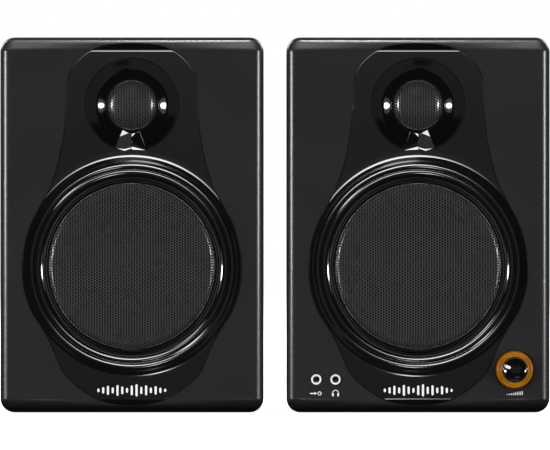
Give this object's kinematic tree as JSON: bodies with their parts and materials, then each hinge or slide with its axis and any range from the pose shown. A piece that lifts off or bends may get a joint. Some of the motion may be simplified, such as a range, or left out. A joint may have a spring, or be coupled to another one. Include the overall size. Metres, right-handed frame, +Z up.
{
  "type": "desktop speakers",
  "caption": "Pair of small two-way desktop monitor speakers with gloss pear-shaped inlays, domed perforated grilles, a volume knob with an amber ring and front jack sockets.",
  "frame": {"origin": "on the desk, under the middle of the pair's bounding box", "axes": "+X to the right seen from the front, from the passive to the active speaker; +Y to the rear, the fronts face -Y; +Z up"},
  "size_m": [0.3172, 0.18, 0.2172],
  "materials": {
    "grey_moulding": "satin dark grey",
    "gloss_black": "high gloss",
    "grille_steel": "satin black perforated sheet",
    "black_vinyl": "black vinyl wrap on fibreboard",
    "black_steel": "satin black",
    "nickel": "bright nickel plating",
    "ferrite": "matt sintered ferrite",
    "cone_paper": "matt coated paper",
    "black_rubber": "matt",
    "copper_wire": "enamelled copper",
    "silk_cloth": "coated cloth",
    "amber_plastic": "translucent amber",
    "circuit_board": "green solder mask",
    "aluminium": "extruded",
    "red_plastic": "semi-gloss",
    "black_plastic": "semi-matt"
  },
  "bodies": {
    "right_speaker": {"right_cabinet": "black_vinyl", "right_front_baffle": "grey_moulding", "right_gloss_panel": "gloss_black", "right_woofer_ring": "gloss_black", "right_woofer_grille": "grille_steel", "right_woofer_basket": "black_steel", "right_woofer_magnet": "ferrite", "right_woofer_yoke": "black_steel", "right_woofer_surround": "black_rubber", "right_woofer_spider": "silk_cloth", "right_tweeter_waveguide": "gloss_black", "right_tweeter_grille": "grille_steel", "right_tweeter_magnet": "ferrite", "right_bass_port": "black_plastic", "right_front_foot": "black_rubber", "right_rear_foot": "black_rubber", "right_light_ring": "amber_plastic", "right_volume_pot": "black_steel", "right_aux_jack": "nickel", "right_headphone_jack": "nickel", "right_control_board": "circuit_board", "right_amp_plate": "black_steel", "right_amp_board": "circuit_board", "right_heat_sink": "aluminium", "right_transformer": "black_steel", "right_mains_inlet": "black_plastic", "right_switch_body": "black_plastic", "right_rca_sockets": "black_plastic", "right_usb_socket": "nickel", "right_output_terminals": "black_plastic"},
    "left_speaker": {"left_cabinet": "black_vinyl", "left_front_baffle": "grey_moulding", "left_gloss_panel": "gloss_black", "left_woofer_ring": "gloss_black", "left_woofer_grille": "grille_steel", "left_woofer_basket": "black_steel", "left_woofer_magnet": "ferrite", "left_woofer_yoke": "black_steel", "left_woofer_surround": "black_rubber", "left_woofer_spider": "silk_cloth", "left_tweeter_waveguide": "gloss_black", "left_tweeter_grille": "grille_steel", "left_tweeter_magnet": "ferrite", "left_bass_port": "black_plastic", "left_front_foot": "black_rubber", "left_rear_foot": "black_rubber", "left_terminal_cup": "black_plastic", "left_crossover_board": "circuit_board"},
    "left_woofer_cone": {"left_woofer_cone": "cone_paper", "left_woofer_voice_coil": "copper_wire"},
    "left_tweeter_dome": {"left_tweeter_dome": "silk_cloth"},
    "left_red_lever": {"left_red_lever": "red_plastic"},
    "left_black_lever": {"left_black_lever": "black_plastic"},
    "right_woofer_cone": {"right_woofer_cone": "cone_paper", "right_woofer_voice_coil": "copper_wire"},
    "right_tweeter_dome": {"right_tweeter_dome": "silk_cloth"},
    "right_red_lever": {"right_red_lever": "red_plastic"},
    "right_black_lever": {"right_black_lever": "black_plastic"},
    "volume_knob": {"right_volume_knob": "gloss_black"},
    "power_rocker": {"right_power_rocker": "black_plastic"}
  },
  "joints": [
    {"name": "left_speaker_spacing", "type": "slide", "parent": "right_speaker", "child": "left_speaker", "axis": [-1, 0, 0], "range_m": [0, 0.25]},
    {"name": "left_woofer_travel", "type": "slide", "parent": "left_speaker", "child": "left_woofer_cone", "axis": [0, -1, 0], "range_m": [-0.003, 0.003], "stiffness_N_per_m": 1200, "deforming": ["left_woofer_surround", "left_woofer_spider"]},
    {"name": "left_tweeter_travel", "type": "slide", "parent": "left_speaker", "child": "left_tweeter_dome", "axis": [0, -1, 0], "range_m": [-0.0003, 0.0003], "stiffness_N_per_m": 1500},
    {"name": "left_red_lever_press", "type": "hinge", "parent": "left_speaker", "child": "left_red_lever", "pos_m": [-0.0906, 0.0742, 0.0775], "axis": [1, 0, 0], "range_deg": [0, 18], "stiffness_Nm_per_rad": 0.05},
    {"name": "left_black_lever_press", "type": "hinge", "parent": "left_speaker", "child": "left_black_lever", "pos_m": [-0.0746, 0.0742, 0.0775], "axis": [1, 0, 0], "range_deg": [0, 18], "stiffness_Nm_per_rad": 0.05},
    {"name": "right_woofer_travel", "type": "slide", "parent": "right_speaker", "child": "right_woofer_cone", "axis": [0, -1, 0], "range_m": [-0.003, 0.003], "stiffness_N_per_m": 1200, "deforming": ["right_woofer_surround", "right_woofer_spider"]},
    {"name": "right_tweeter_travel", "type": "slide", "parent": "right_speaker", "child": "right_tweeter_dome", "axis": [0, -1, 0], "range_m": [-0.0003, 0.0003], "stiffness_N_per_m": 1500},
    {"name": "right_red_lever_press", "type": "hinge", "parent": "right_speaker", "child": "right_red_lever", "pos_m": [0.0746, 0.0792, 0.0505], "axis": [1, 0, 0], "range_deg": [0, 18], "stiffness_Nm_per_rad": 0.05},
    {"name": "right_black_lever_press", "type": "hinge", "parent": "right_speaker", "child": "right_black_lever", "pos_m": [0.0906, 0.0792, 0.0505], "axis": [1, 0, 0], "range_deg": [0, 18], "stiffness_Nm_per_rad": 0.05},
    {"name": "volume_turn", "type": "hinge", "parent": "right_speaker", "child": "volume_knob", "pos_m": [0.1383, -0.0815, 0.0253], "axis": [0, -1, 0], "range_deg": [-218, 82]},
    {"name": "power_switch", "type": "hinge", "parent": "right_speaker", "child": "power_rocker", "pos_m": [0.1246, 0.08, 0.0545], "axis": [1, 0, 0], "range_deg": [0, 16]}
  ]
}
